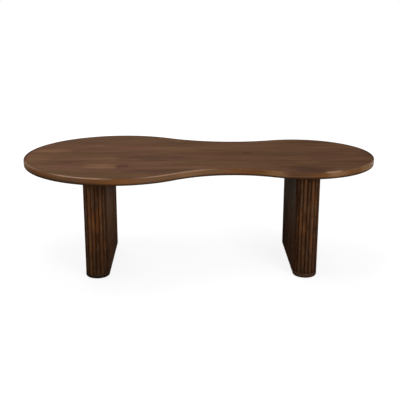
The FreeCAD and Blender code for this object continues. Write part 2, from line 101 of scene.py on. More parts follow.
# Fasteners and glides
INSERT_DIAMETER = 0.0102
INSERT_DEPTH = 0.014
BOLT_DIAMETER = 0.006
BOLT_HEAD_FLATS = 0.010
BOLT_HEAD_SIDES = 6
BOLT_CHAMFER_SHARE = 0.14
BOLT_CHAMFER_RISE_SHARE = 0.6
WASHER_DIAMETER = 0.014
WASHER_BORE = 0.0064
WASHER_EASE_SHARE = 0.2
SCREW_DIAMETER = 0.005
SCREW_HEAD = 0.010
SCREW_TIP_SHARE = 0.1
SCREW_CLEARANCE = 0.00012
RECESS_REACH_SHARE = 0.55
RECESS_HALF_WIDTH_SHARE = 0.12
RECESS_DEPTH_SHARE = 0.5
RECESS_FLOOR_SHARE = 0.35
GLIDE_DIAMETER = 0.024
GLIDE_SOFT_SHARE = 0.25

# Steps of the round forms
OUTLINE_STEP = math.radians(2.5)
ROUND_STEPS = 8
REED_STEPS = 12
REED_BACK_STEPS = 4
TURNED_SIDES = 32
WIDE_TURNED_SIDES = 40

# A narrow strip beside each rounding keeps the shading of the flat face clean
FLAT_STRIP = 0.0006
SMOOTH_ANGLE = math.radians(38)

# How far a cut starts outside the piece, and how near points lie that are one
OVERRUN = 0.0006
TOUCHING = 0.000006


# Meshes

def placed(name, data):
    """An object in the scene, made from a mesh, a lamp or a camera."""
    made = bpy.data.objects.new(name, data)
    bpy.context.scene.collection.objects.link(made)
    return made


def made_mesh(name, maker):
    """A mesh from a function that fills a bmesh, its faces turned outwards."""
    work = bmesh.new()
    maker(work)
    bmesh.ops.recalc_face_normals(work, faces=work.faces)
    mesh = bpy.data.meshes.new(name)
    work.to_mesh(mesh)
    work.free()
    return mesh


def new_piece(name, maker, material, node):
    """A piece, smooth but for its sharp edges, that rides on the body and stands for a node."""
    piece = placed(name, made_mesh(name, maker))
    for face in piece.data.polygons:
        face.use_smooth = True
    piece.data.set_sharp_from_angle(angle=SMOOTH_ANGLE)
    piece.data.materials.append(material)
    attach(piece, BODY)
    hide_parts(node)
    return piece


def skin(work, rings, capped=True):
    """Closed rings of points joined one to the next, with a cap at each end."""
    loops = [[work.verts.new(point) for point in ring] for ring in rings]
    count = len(loops[0])
    for low, high in zip(loops, loops[1:]):
        for corner in range(count):
            following = (corner + 1) % count
            work.faces.new((low[corner], low[following], high[following], high[corner]))
    if capped:
        work.faces.new(list(reversed(loops[0])))
        work.faces.new(loops[-1])


def slab(work, outline, profile):
    """A flat piece: its outline, as points with outward normals, swept by offset and height pairs."""
    skin(work, [[(p.x + n.x * out, p.y + n.y * out, z) for p, n in outline] for out, z in profile])


def rounded_profile(bottom, top, lower_round, upper_round):
    """Offset and height pairs up the side of a slab with both edges rounded."""
    turns = [math.pi / 2 * step / ROUND_STEPS for step in range(ROUND_STEPS + 1)]
    profile = [(-lower_round - FLAT_STRIP, bottom)]
    for turn in turns:
        profile.append((lower_round * (math.sin(turn) - 1), bottom + lower_round * (1 - math.cos(turn))))
    for turn in turns:
        profile.append((upper_round * (math.cos(turn) - 1), top - upper_round * (1 - math.sin(turn))))
    profile.append((-upper_round - FLAT_STRIP, top))
    return profile


def circle(centre, radius, height, sides, start=0.5):
    """Points round an upright axis, the first of them some share of a step past the X axis."""
    points = []
    for number in range(sides):
        angle = 2 * math.pi * (number + start) / sides
        points.append((centre[0] + radius * math.cos(angle), centre[1] + radius * math.sin(angle), height))
    return points


def lathe(work, centre, levels, sides=TURNED_SIDES):
    """A turned solid on an upright axis, from radius and height pairs, lowest first."""
    skin(work, [circle(centre, radius, height, sides) for radius, height in levels])


def point_values(piece, name, values):
    """A number on each point of a mesh, in the order that they were made, for a material to read."""
    attribute = piece.data.attributes.new(name, "FLOAT", "POINT")
    attribute.data.foreach_set("value", values)


def share_between(value, low, high):
    """From 0 at the low mark to 1 at the high one."""
    return max(0.0, min(1.0, (value - low) / (high - low)))


def cut(piece, cutter_maker):
    """Takes the cutter's solids out of a piece."""
    cutter = placed("cutter", made_mesh("cutter", cutter_maker))
    boolean = piece.modifiers.new("cut", "BOOLEAN")
    boolean.object = cutter
    boolean.solver = "EXACT"
    evaluated = piece.evaluated_get(bpy.context.evaluated_depsgraph_get())
    result = bpy.data.meshes.new_from_object(evaluated)
    piece.modifiers.clear()
    whole = piece.data
    piece.data = result
    bpy.data.meshes.remove(whole)
    bpy.data.objects.remove(cutter)
    piece.data.set_sharp_from_angle(angle=SMOOTH_ANGLE)


def islands(work):
    """The groups of vertices of a bmesh that hang together, one for each solid."""
    left = set(work.verts)
    while left:
        island, queue = [], [left.pop()]
        while queue:
            vertex = queue.pop()
            island.append(vertex)
            beside = left.intersection(edge.other_vert(vertex) for edge in vertex.link_edges)
            left -= beside
            queue.extend(beside)
        yield island


def node_middles(node):
    """The middle of each separate solid of a node, in plan."""
    work = bmesh.new()
    work.from_mesh(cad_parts[node].data)
    bmesh.ops.remove_doubles(work, verts=work.verts, dist=TOUCHING)
    middles = []
    for island in islands(work):
        xs = [vertex.co.x for vertex in island]
        ys = [vertex.co.y for vertex in island]
        middles.append(((min(xs) + max(xs)) / 2, (min(ys) + max(ys)) / 2))
    work.free()
    return sorted(middles)


# Outlines

def swing(centre, radius, start, end, hollow=False):
    """Points along an arc with their outward normals, without the last one."""
    steps = round(abs(end - start) / OUTLINE_STEP)
    side = -1 if hollow else 1
    points = []
    for step in range(steps):
        angle = start + (end - start) * step / steps
        ray = Vector((math.cos(angle), math.sin(angle)))
        points.append((centre + ray * radius, ray * side))
    return points


def peanut():
    """The top's outline: two lobes and two hollow waists, each arc running into the next."""
    low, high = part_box("top_panel")
    left_radius = (high.y - low.y) / 2
    middle_y = (high.y + low.y) / 2
    left = Vector((low.x + left_radius, middle_y))
    right = Vector((high.x - RIGHT_LOBE, middle_y))
    spacing = right.x - left.x

    def waist(radius, sign):
        reach, far = left_radius + radius, RIGHT_LOBE + radius
        along = (reach**2 - far**2 + spacing**2) / (2 * spacing)
        return Vector((left.x + along, middle_y + sign * math.sqrt(reach**2 - along**2)))

    def heading(origin, target):
        return math.atan2(target.y - origin.y, target.x - origin.x)

    front, rear = waist(FRONT_WAIST, -1), waist(REAR_WAIST, 1)
    turn = 2 * math.pi
    outline = swing(left, left_radius, heading(left, rear), heading(left, front) + turn)
    outline += swing(front, FRONT_WAIST, heading(front, left), heading(front, right), hollow=True)
    outline += swing(right, RIGHT_LOBE, heading(right, front), heading(right, rear))
    outline += swing(rear, REAR_WAIST, heading(rear, right) + turn, heading(rear, left) + turn, hollow=True)
    return outline


def round_ended(centre_x, radius):
    """The outline of a leg: two straight sides between two half-round ends."""
    outline = []
    for start, sign in ((0, 1), (math.pi, -1)):
        outline += swing(Vector((centre_x, sign * LEG_RUN / 2)), radius, start, start + math.pi)
        outline.append((Vector((centre_x - sign * radius, sign * LEG_RUN / 2)), Vector((-sign, 0))))
    return outline


def cross(reach, half_width):
    """The twelve corners of a cross, as one outline."""
    arm = ((reach, -half_width), (reach, half_width), (half_width, half_width))
    corners = []
    for quarter in range(4):
        turn = Matrix.Rotation(quarter * math.pi / 2, 2)
        corners += [turn @ Vector(corner) for corner in arm]
    return corners


# The reeds

def round_core(count, outward, core_radius):
    """A point round the leg's core, counted in reeds from the front of its right side."""
    lap = count % (2 * HALF_LAP)
    flip = 1
    if lap >= HALF_LAP:
        lap -= HALF_LAP
        flip = -1
    reach = core_radius + outward
    half = LEG_RUN / 2
    if lap <= REEDS_PER_SIDE:
        return Vector((flip * reach, flip * (2 * lap / REEDS_PER_SIDE - 1) * half))
    angle = math.pi * (lap - REEDS_PER_SIDE) / REEDS_PER_END
    return Vector((flip * reach * math.cos(angle), flip * (half + reach * math.sin(angle))))


def reed_section(middle, core_radius, pitch):
    """The outline of one strip and how deep in a groove each of its points lies, from 0 to 1."""
    half = pitch / 2 - REED_GAP
    rise = REED_THICKNESS - REED_EDGE
    radius = (half**2 + rise**2) / (2 * rise)
    widest = math.asin(half / radius)
    points = []
    for step in range(REED_STEPS + 1):
        angle = widest * (2 * step / REED_STEPS - 1)
        outward = REED_THICKNESS - radius * (1 - math.cos(angle))
        points.append((radius * math.sin(angle) / pitch, outward, abs(angle) / widest))
    for step in range(REED_BACK_STEPS + 1):
        points.append((half / pitch * (1 - 2 * step / REED_BACK_STEPS), 0.0, 1.0))
    return [(round_core(middle + along, outward, core_radius), depth) for along, outward, depth in points]


def reed_cladding(side, material):
    """All the strips round one leg, each a closed solid, with tones and groove depths for the finish."""
    node = f"{side}_reeds"
    low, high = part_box(f"{side}_plinth")
    centre_x = (low.x + high.x) / 2
    core_radius = (high.x - low.x) / 2 - REED_THICKNESS
    bottom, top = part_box(node)[0].z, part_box(node)[1].z
    pitch = LEG_RUN / REEDS_PER_SIDE
    tones, depths, flats = [], [], []

    def strips(work):
        for number in range(2 * HALF_LAP):
            middle = number + 0.5 + REED_PHASES[side]
            section = reed_section(middle, core_radius, pitch)
            skin(work, [[(centre_x + p.x, p.y, height) for p, _ in section] for height in (bottom, top)])
            tones.extend([number * GOLDEN_SHARE % 1] * (2 * len(section)))
            depths.extend([depth for _, depth in section] * 2)
            flats.extend([float(middle % HALF_LAP < REEDS_PER_SIDE)] * (2 * len(section)))

    piece = new_piece(f"{side}_reed_strips", strips, material, node)
    point_values(piece, "reed_tone", tones)
    point_values(piece, "groove_depth", depths)
    point_values(piece, "flat_side", flats)


# Shader nodes

class Nodes:
    """Short calls for the nodes that the finishes and the world are made of."""

    def __init__(self, tree):
        self.tree = tree

    def feed(self, socket, value):
        """Link a socket to an output, or set it to a number or colour."""
        if isinstance(value, bpy.types.NodeSocket):
            self.tree.links.new(value, socket)
        else:
            socket.default_value = value

    def fill(self, node, inputs):
        """Feed some inputs of a node by their names."""
        for name, value in inputs.items():
            self.feed(node.inputs[name], value)

    def node(self, kind, *values, **settings):
        """A new node with its settings, and its first inputs fed with the values."""
        node = self.tree.nodes.new(kind)
        for name, value in settings.items():
            setattr(node, name, value)
        for socket, value in zip(node.inputs, values):
            self.feed(socket, value)
        return node

    def place(self):
        """The place on the object, in metres."""
        return self.node("ShaderNodeTexCoord").outputs["Object"]

    def attribute(self, name):
        """A number that point_values put on the mesh."""
        return self.node("ShaderNodeAttribute", attribute_name=name).outputs["Fac"]

    def split(self, vector):
        """The three parts of a vector."""
        return self.node("ShaderNodeSeparateXYZ", vector).outputs

    def join(self, x, y, z):
        """A vector from its parts."""
        return self.node("ShaderNodeCombineXYZ", x, y, z).outputs[0]

    def stretch(self, vector, scale):
        """A vector times a scale for each axis."""
        return self.node("ShaderNodeVectorMath", vector, scale, operation="MULTIPLY").outputs[0]

    def length(self, vector):
        """How long a vector is."""
        return self.node("ShaderNodeVectorMath", vector, operation="LENGTH").outputs["Value"]

    def math(self, operation, *values):
        """One operation on its values."""
        return self.node("ShaderNodeMath", *values, operation=operation).outputs[0]

    def product(self, first, *others):
        """All the values multiplied."""
        result = first
        for other in others:
            result = self.math("MULTIPLY", result, other)
        return result

    def weighted(self, *terms, base=0.0):
        """A base, and added to it each value times its weight."""
        result = base
        for value, weight in terms:
            result = self.math("MULTIPLY_ADD", value, weight, result)
        return result

    def greatest(self, *values):
        """The greatest of the values, but at least 0."""
        result = 0.0
        for value in values:
            result = self.math("MAXIMUM", result, value)
        return result

    def distance(self, value, mark):
        """How far a value lies from a mark, on either side."""
        return self.math("ABSOLUTE", self.math("SUBTRACT", value, mark))

    def oval(self, x, y, middle, half_length, half_width):
        """How far out from the middle of an oval a place lies, 1 at the oval's rim."""
        off_x = self.math("DIVIDE", self.math("SUBTRACT", x, middle[0]), half_length)
        off_y = self.math("DIVIDE", self.math("SUBTRACT", y, middle[1]), half_width)
        return self.length(self.join(off_x, off_y, 0.0))

    def ease(self, value, low, high, start=0.0, end=1.0, kind="SMOOTHSTEP"):
        """Start below low, end above high, smooth between them."""
        values = (value, low, high, start, end)
        return self.node("ShaderNodeMapRange", *values, interpolation_type=kind).outputs[0]

    def across(self, value, origin, size, band, start=0.0, end=1.0):
        """Start before a band and end past it, the band lying at shares of a size from an origin."""
        return self.ease(value, origin + size * band[0], origin + size * band[1], start, end)

    def noise(self, vector, scale, detail=3.0, roughness=0.55, w=0.0, distortion=0.0):
        """Noise with a number of grains in a metre along each axis."""
        node = self.node("ShaderNodeTexNoise", noise_dimensions="4D")
        self.fill(node, {"Vector": self.stretch(vector, scale), "W": w, "Scale": 1.0})
        self.fill(node, {"Detail": detail, "Roughness": roughness, "Distortion": distortion})
        return node.outputs[0]

    def steps(self, value, stops, smooth=False):
        """A ramp through stops of position and grey or colour."""
        node = self.node("ShaderNodeValToRGB", value)
        ramp = node.color_ramp
        ramp.interpolation = "EASE" if smooth else "CONSTANT"
        while len(ramp.elements) < len(stops):
            ramp.elements.new(1.0)
        for element, (position, tone) in zip(ramp.elements, stops):
            element.position = position
            element.color = (tone,) * 3 + (1,) if isinstance(tone, float) else tone + (1,)
        return node.outputs[0]

    def mix(self, share, first, second):
        """The first colour with a share of the second."""
        node = self.node("ShaderNodeMix", data_type="RGBA")
        self.feed(node.inputs["Factor"], share)
        for name, value in (("A", first), ("B", second)):
            socket = next(s for s in node.inputs if s.name == name and s.type == "RGBA")
            self.feed(socket, value if isinstance(value, bpy.types.NodeSocket) else value + (1,))
        return next(s for s in node.outputs if s.type == "RGBA")


class Shader(Nodes):
    """The nodes of one material."""

    def __init__(self, name):
        self.material = bpy.data.materials.new(name)
        self.material.use_nodes = True
        super().__init__(self.material.node_tree)
        self.surface = self.tree.nodes["Principled BSDF"]

    def bump(self, height, relief):
        """Relief that stands this high, in metres, where the height is 1."""
        node = self.node("ShaderNodeBump")
        self.fill(node, {"Height": height, "Distance": relief})
        self.feed(self.surface.inputs["Normal"], node.outputs[0])

    def finish(self, colour, roughness, metallic=0.0, specular=0.5, coat=0.0, coat_roughness=0.3):
        """The material, with a surface of these values."""
        self.fill(self.surface, {"Base Color": colour, "Roughness": roughness, "Metallic": metallic})
        self.fill(self.surface, {"Coat Weight": coat, "Coat Roughness": coat_roughness})
        self.fill(self.surface, {"Specular IOR Level": specular})
        return self.material


def paint(red, green, blue):
    """A colour given in the 0 to 255 of a picture, as the linear numbers that shaders take."""
    linear = []
    for channel in (red, green, blue):
        share = channel / 255
        linear.append(share / 12.92 if share <= 0.04045 else ((share + 0.055) / 1.055) ** 2.4)
    return tuple(linear)


# Woods

TOP_COAT = 0.01
LEG_COAT = 0.025
COAT_ROUGHNESS = 0.32
PORE_STRENGTH = 0.35
GRAIN_RELIEF = 0.00012
FOOT_RELIEF = 0.00010


def open_pores(wood, place, scale):
    """1 in the pores of the wood, 0 beside them."""
    return wood.ease(wood.noise(place, scale, detail=1.0), 0.62, 0.72)


# The top's wood

# Grains in a metre along X, Y and Z
TOP_FIGURE = (4.5, 62.0, 62.0)
TOP_BROAD = (4.0, 15.0, 15.0)
TOP_FIBRE = (26.0, 1500.0, 1500.0)
TOP_PORES = (150.0, 2400.0, 2400.0)
TOP_HUE = (3.6, 11.0, 11.0)
RING_DRIFT = (2.4, 11.0, 11.0)
PATCH_RAGS = (6.0, 90.0, 90.0)
PATCH_LUMPS = (22.0, 34.0, 34.0)
PATCH_STREAKS = (9.0, 260.0, 260.0)

# Growth rings: radians of phase to a metre across the board, and how far the drift shifts them
RING_RATE = 620.0
RING_SHIFT = 46.0

# Offsets of the noise, so that no two staves and no two noises are alike
STAVE_SEEDS = 37.0
HUE_SEED = 5.0

TOP_TONES = (
    (0.52, paint(74, 49, 36)),
    (0.66, paint(91, 62, 46)),
    (0.80, paint(104, 73, 54)),
    (0.96, paint(123, 89, 64)),
)
REDDISH = paint(103, 67, 57)
GREENISH = paint(95, 75, 49)
DEEP_BROWN = paint(72, 50, 37)
KNOT_BROWN = paint(62, 38, 30)
TOP_PORE_BROWN = paint(48, 31, 22)
GLUE_BROWN = paint(46, 30, 22)
RIM_SHADE = paint(40, 28, 22)

# Where along X the board gets deeper in tone
DEEPER_FROM = -0.10
DEEPER_TO = 0.25

# Glue lines between the top's staves, from the front edge to the rear edge
STAVE_JOINTS = (-0.255, -0.170, -0.085, -0.020, 0.045, 0.130, 0.215, 0.300)
STAVE_TONES = (0.48, 0.54, 0.42, 0.58, 0.40, 0.52, 0.44, 0.56, 0.48)
GLUE_LINE = 0.0005
GLUE_BAND = (0.3, 1.0)

# Knots in the top: middle in X and Y, size and strength
KNOTS = (
    ((-0.267, -0.173), 0.022, 0.50),
    ((0.177, 0.022), 0.018, 0.45),
    ((-0.465, -0.128), 0.014, 0.40),
)
KNOT_STRETCH = 1.3
KNOT_PULL = 0.85

# The tones that patches of the board run to
SAND = paint(130, 95, 67)
FAWN = paint(114, 82, 64)
RUSSET = paint(106, 71, 58)
DRAB = paint(107, 82, 56)
OLIVE = paint(78, 61, 46)
UMBER = paint(74, 52, 40)

# Patches of other tone in the top: middle, half length, half width, tone and strength
PATCHES = (
    ((-0.290, 0.250), 0.300, 0.080, OLIVE, 0.42),
    ((-0.600, -0.040), 0.080, 0.110, SAND, 0.36),
    ((-0.150, -0.240), 0.170, 0.045, UMBER, 0.50),
    ((0.170, 0.150), 0.240, 0.060, FAWN, 0.45),
    ((0.110, -0.150), 0.150, 0.045, FAWN, 0.45),
    ((-0.350, -0.170), 0.072, 0.042, SAND, 0.72),
    ((-0.335, -0.190), 0.052, 0.024, SAND, 0.75),
    ((-0.305, -0.050), 0.080, 0.012, SAND, 1.00),
    ((-0.550, 0.064), 0.080, 0.036, SAND, 0.68),
    ((-0.449, -0.040), 0.110, 0.030, RUSSET, 0.55),
    ((-0.480, -0.190), 0.150, 0.050, FAWN, 0.45),
    ((-0.238, 0.220), 0.130, 0.050, DRAB, 0.40),
    ((-0.185, -0.050), 0.180, 0.046, UMBER, 0.70),
    ((-0.030, 0.190), 0.140, 0.080, UMBER, 0.38),
    ((-0.060, 0.120), 0.120, 0.020, DRAB, 0.40),
    ((0.322, 0.000), 0.080, 0.046, OLIVE, 0.50),
    ((0.370, -0.220), 0.100, 0.050, UMBER, 0.90),
    ((0.385, -0.118), 0.055, 0.015, DRAB, 0.60),
    ((0.480, 0.110), 0.080, 0.024, DRAB, 0.42),
    ((0.230, 0.210), 0.110, 0.024, FAWN, 0.40),
    ((0.430, 0.215), 0.110, 0.030, UMBER, 0.45),
    ((0.612, 0.020), 0.030, 0.060, OLIVE, 0.55),
)


def stave_tones(wood, y, front, rear):
    """The tone of the stave that a place lies in."""
    width = rear - front
    across = wood.math("DIVIDE", wood.math("SUBTRACT", y, front), width)
    starts = [0.0] + [(joint - front) / width for joint in STAVE_JOINTS]
    return wood.steps(across, list(zip(starts, STAVE_TONES)))


def knotted_flow(wood, x, y):
    """Y drawn in towards the knots, so that the grain parts round them, and how dark each place is."""
    flow_y = y
    darks = []
    for middle, size, strength in KNOTS:
        away = wood.oval(x, y, middle, size * KNOT_STRETCH, size)
        near = wood.math("EXPONENT", wood.product(away, away, -0.5))
        pull = wood.product(wood.math("SUBTRACT", y, middle[1]), near, KNOT_PULL)
        flow_y = wood.math("SUBTRACT", flow_y, pull)
        darks.append(wood.ease(wood.distance(away, 0.55), 0.05, 0.45, strength, 0.0))
        darks.append(wood.ease(away, 0.10, 0.40, strength * 0.7, 0.0))
    return flow_y, wood.greatest(*darks)


def growth_rings(wood, flow, flow_y, stave):
    """Bands of early and late wood along the grain, from 0 to 1."""
    drift = wood.noise(flow, RING_DRIFT, detail=2.0, w=stave)
    phase = wood.weighted((flow_y, RING_RATE), (drift, RING_SHIFT))
    return wood.math("MULTIPLY_ADD", wood.math("SINE", phase), 0.5, 0.5)


def stained_board(wood, x, flow, figured, stave):
    """The board's stain over its figure, redder and greener in places and deeper to the right."""
    broad = wood.noise(flow, TOP_BROAD, w=stave)
    colour = wood.steps(wood.weighted((broad, 0.45), base=figured), TOP_TONES, smooth=True)
    hue = wood.noise(flow, TOP_HUE, detail=2.0, w=wood.math("ADD", stave, HUE_SEED))
    colour = wood.mix(wood.ease(hue, 0.48, 0.66, 0.0, 0.45), colour, REDDISH)
    colour = wood.mix(wood.ease(hue, 0.34, 0.50, 0.40, 0.0), colour, GREENISH)
    return wood.mix(wood.ease(x, DEEPER_FROM, DEEPER_TO, 0.0, 0.20), colour, DEEP_BROWN)


def patched(wood, colour, x, y, flow, stave):
    """Ragged patches of the sapwood's and heartwood's colours."""
    ragged = wood.noise(flow, PATCH_RAGS, w=stave)
    lumpy = wood.noise(flow, PATCH_LUMPS, detail=2.0, w=stave)
    rough_rim = wood.weighted((lumpy, -1.2), (ragged, -1.6), base=1.4)
    streaks = wood.ease(wood.noise(flow, PATCH_STREAKS, w=stave), 0.36, 0.58, 0.55, 1.0)
    for middle, half_length, half_width, tone, strength in PATCHES:
        away = wood.math("ADD", wood.oval(x, y, middle, half_length, half_width), rough_rim)
        cover = wood.product(wood.ease(away, 0.35, 1.20, strength, 0.0), streaks)
        colour = wood.mix(cover, colour, tone)
    return colour


def glue_lines(wood, y):
    """1 on a glue line between two staves, 0 beside it."""
    away = [wood.distance(y, joint) for joint in STAVE_JOINTS]
    return wood.greatest(*[wood.across(off, 0.0, GLUE_LINE, GLUE_BAND, 1.0, 0.0) for off in away])


# The top's edge

# Grains in a metre along X, Y and Z
EDGE_WANDER = (9.0, 9.0, 30.0)
EDGE_GRAIN = (7.0, 7.0, 260.0)
END_GRAIN = (40.0, 420.0, 420.0)

# How far along X the edge's tones wander
WANDER_REACH = 0.12

EDGE_DARK_GRAIN = paint(74, 48, 30)
EDGE_PALE_GRAIN = paint(146, 110, 76)
END_SPECKLE = paint(70, 46, 31)
ARRIS_HIGHLIGHT = paint(196, 160, 136)
UNDER_SHADE = paint(44, 31, 22)
SIDE_SHADE = paint(60, 42, 28)
UNDERSIDE_STAIN = paint(52, 37, 28)

# The tones of the edge, and where it has them along X
TIP_SHEEN = paint(198, 176, 158)
BESIDE_TIP_SHEEN = paint(150, 116, 87)
HONEY = paint(136, 101, 69)
BROWN = paint(116, 84, 59)
AMBER = paint(129, 84, 49)
CHESTNUT = paint(111, 71, 38)
COCOA = paint(90, 60, 39)
# The pale tones at and beside both tips are painted sheen
EDGE_STRETCHES = (
    (-0.63, TIP_SHEEN),
    (-0.595, BESIDE_TIP_SHEEN),
    (-0.56, AMBER),
    (-0.42, BROWN),
    (-0.34, CHESTNUT),
    (-0.25, AMBER),
    (-0.16, BROWN),
    (-0.11, BROWN),
    (-0.04, HONEY),
    (0.04, BROWN),
    (0.14, CHESTNUT),
    (0.20, CHESTNUT),
    (0.28, HONEY),
    (0.34, COCOA),
    (0.42, CHESTNUT),
    (0.46, HONEY),
    (0.53, CHESTNUT),
    (0.58, HONEY),
    (0.60, BESIDE_TIP_SHEEN),
    (0.63, TIP_SHEEN),
)

# Where the edge's upper arris gets a painted highlight along X: middle, half length and strength
ARRIS_HIGHLIGHT_STRETCHES = (
    (-0.585, 0.04, 0.24),
    (-0.40, 0.09, 0.52),
    (-0.08, 0.12, 0.38),
    (0.455, 0.03, 0.46),
    (0.58, 0.05, 0.12),
)

ARRIS_HIGHLIGHT_BAND = (0.5, 1.3)

# The stretch along X whose lower edge gets painted shade: it comes in, is full, goes out and has ended
SIDE_SHADE_STRETCH = (-0.63, -0.59, -0.42, -0.28)

# Where the edge's tones change, in shares of its roundings: down from the top, then up from below
TOP_BAND = (0.9, 0.1)
UNDER_BAND = (0.02, 0.3)
SHADE_BAND = (0.6, 1.8)
SIDE_SHADE_BAND = (0.5, 3.2)
STAIN_BAND = (0.0, 0.1)


def side_tones(wood, place, along):
    """The tones of the board's side, streaked along it, speckled on its end grain and pale with painted
    sheen at the tips.
    """
    start, end = EDGE_STRETCHES[0][0], EDGE_STRETCHES[-1][0]
    share = wood.math("DIVIDE", wood.math("SUBTRACT", along, start), end - start)
    stops = [((at - start) / (end - start), tone) for at, tone in EDGE_STRETCHES]
    side = wood.steps(share, stops, smooth=True)
    grain = wood.noise(place, EDGE_GRAIN, detail=4.0, roughness=0.6)
    side = wood.mix(wood.ease(grain, 0.34, 0.50, 0.45, 0.0), side, EDGE_DARK_GRAIN)
    side = wood.mix(wood.ease(grain, 0.52, 0.72, 0.0, 0.40), side, EDGE_PALE_GRAIN)
    speckle = wood.ease(wood.noise(place, END_GRAIN), 0.42, 0.62)
    return wood.mix(wood.product(speckle, wood.attribute("end_face"), 0.45), side, END_SPECKLE)


def arris_highlights(wood, along):
    """How strong the painted highlight on the upper arris is at each place along the edge."""
    arris_lights = []
    for middle, half_length, strength in ARRIS_HIGHLIGHT_STRETCHES:
        arris_lights.append(wood.across(wood.distance(along, middle), 0.0, half_length, ARRIS_HIGHLIGHT_BAND, strength, 0.0))
    return wood.product(wood.greatest(*arris_lights), wood.attribute("upper_arris"))


def edge_finish(wood, colour, place, low, high):
    """The side in its own tones, its upper arris lightened in places by a painted highlight and its lower
    one darkened by painted shade, more so along the left lobe.
    """
    x, _, z = wood.split(place)
    shift = wood.math("SUBTRACT", x, WANDER_REACH / 2)
    along = wood.weighted((wood.noise(place, EDGE_WANDER), WANDER_REACH), base=shift)

    def risen(band, start=0.0, end=1.0):
        return wood.across(z, low.z, UNDER_ARRIS, band, start, end)

    below_top = wood.across(z, high.z, -TOP_ARRIS, TOP_BAND, 0.85, 0.0)
    above_under = risen(UNDER_BAND)
    colour = wood.mix(wood.product(below_top, above_under), colour, side_tones(wood, place, along))
    # A painted highlight along the upper arris
    colour = wood.mix(arris_highlights(wood, along), colour, ARRIS_HIGHLIGHT)
    colour = wood.mix(wood.product(risen(SHADE_BAND, 0.80, 0.0), above_under), colour, UNDER_SHADE)

    # Painted shade on the lower part of the left lobe's side
    comes, full, goes, ended = SIDE_SHADE_STRETCH
    stretch = wood.product(wood.ease(x, comes, full), wood.ease(x, goes, ended, 1.0, 0.0))
    side_shade = wood.product(risen(SIDE_SHADE_BAND, 0.68, 0.0), above_under, stretch)
    colour = wood.mix(side_shade, colour, SIDE_SHADE)
    return wood.mix(risen(STAIN_BAND, 0.35, 0.0), colour, UNDERSIDE_STAIN)


def top_wood():
    """Stained solid wood in glued staves, its grain along X, under a thin matt lacquer."""
    wood = Shader("top_wood")
    place = wood.place()
    x, y, z = wood.split(place)
    low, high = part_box("top_panel")
    tone = stave_tones(wood, y, low.y, high.y)
    stave = wood.math("MULTIPLY", tone, STAVE_SEEDS)

    flow_y, knot_dark = knotted_flow(wood, x, y)
    flow = wood.join(x, flow_y, z)
    figure = wood.noise(flow, TOP_FIGURE, detail=5.0, roughness=0.62, w=stave, distortion=0.25)
    fibre = wood.noise(flow, TOP_FIBRE, detail=2.0, w=stave)
    pores = open_pores(wood, flow, TOP_PORES)
    rings = growth_rings(wood, flow, flow_y, stave)
    mixed = wood.weighted((figure, 0.50), (rings, 0.14), (fibre, 0.16), (tone, 0.34))
    colour = stained_board(wood, x, flow, mixed, stave)
    colour = patched(wood, colour, x, y, flow, stave)

    glue = glue_lines(wood, y)
    colour = wood.mix(knot_dark, colour, KNOT_BROWN)
    colour = wood.mix(wood.product(pores, PORE_STRENGTH), colour, TOP_PORE_BROWN)
    colour = wood.mix(wood.product(glue, 0.45), colour, GLUE_BROWN)
    # Painted shade along the rear rim
    colour = wood.mix(wood.product(wood.attribute("rear_rim_shade"), 0.75), colour, RIM_SHADE)
    colour = edge_finish(wood, colour, place, low, high)

    wood.bump(wood.weighted((fibre, 0.35), (pores, -0.6), (figure, 0.5), (glue, -0.4)), GRAIN_RELIEF)
    rough = wood.weighted((pores, 0.12), (fibre, 0.10), base=0.36)
    return wood.finish(colour, rough, specular=0.0, coat=TOP_COAT, coat_roughness=COAT_ROUGHNESS)


# The legs' wood

# Grains in a metre along X, Y and Z
LEG_FIGURE = (95.0, 95.0, 20.0)
LEG_BROAD = (14.0, 14.0, 14.0)
LEG_FIBRE = (1500.0, 1500.0, 22.0)
LEG_PORES = (2200.0, 2200.0, 130.0)
LEG_AMBER = (60.0, 60.0, 13.0)
LEG_ASHEN = (30.0, 30.0, 14.0)
LEG_DIRT = (45.0, 45.0, 24.0)
FOOT_FIGURE = (90.0, 5.0, 90.0)
FOOT_FIBRE = (1400.0, 24.0, 1400.0)

# Offsets of the noise, so that no two strips and no two noises are alike
STRIP_SEEDS = 91.0
AMBER_SEED = 9.0
ASHEN_SEED = 17.0
DIRT_SEED = 23.0

LEG_TONES = (
    (0.50, paint(44, 27, 17)),
    (0.66, paint(65, 41, 26)),
    (0.82, paint(83, 54, 34)),
    (0.98, paint(104, 67, 39)),
)
FOOT_TONES = (
    (0.35, paint(31, 22, 16)),
    (0.55, paint(44, 32, 24)),
    (0.75, paint(59, 43, 32)),
)
AMBER_STREAK = paint(122, 68, 27)
ASHEN_STREAK = paint(84, 64, 48)
CREST_HIGHLIGHT = paint(124, 92, 66)
GROOVE_DIRT_AND_SHADE = paint(32, 20, 12)
LEG_PORE_BROWN = paint(34, 22, 15)
SIDE_TOP_LIGHT = paint(106, 92, 80)
LOW_SHADE = paint(22, 14, 9)
SEAM_DIRT = paint(16, 10, 7)
PALER_FOOT = paint(104, 74, 56)
FOOT_HIGHLIGHT = paint(96, 68, 48)
FOOT_SHADE = paint(26, 18, 13)

# The straight sides take painted light from the first height up, and painted shade deepens from the second
# one down
SIDE_LIGHT_FROM = 0.08
LOW_SHADE_TO = 0.24

# How far in from a leg's sides the painted light starts to change
SIDE_LIGHT_MARGIN = 0.02

# Where the feet take a painted highlight and painted shade, in shares of their upper easing and their lower
# rounding
FOOT_HIGHLIGHT_BAND = (2.5, 0.5)
FOOT_SHADE_BAND = (0.2, 1.0)

# The dirty seam over the feet: how high it is full, and where it ends
SEAM_FULL = 0.001
SEAM_END = 0.005


def on_right_leg(wood, x):
    """0 on the left leg and 1 on the right one, which stand on either side of X zero."""
    return wood.math("GREATER_THAN", x, 0.0)


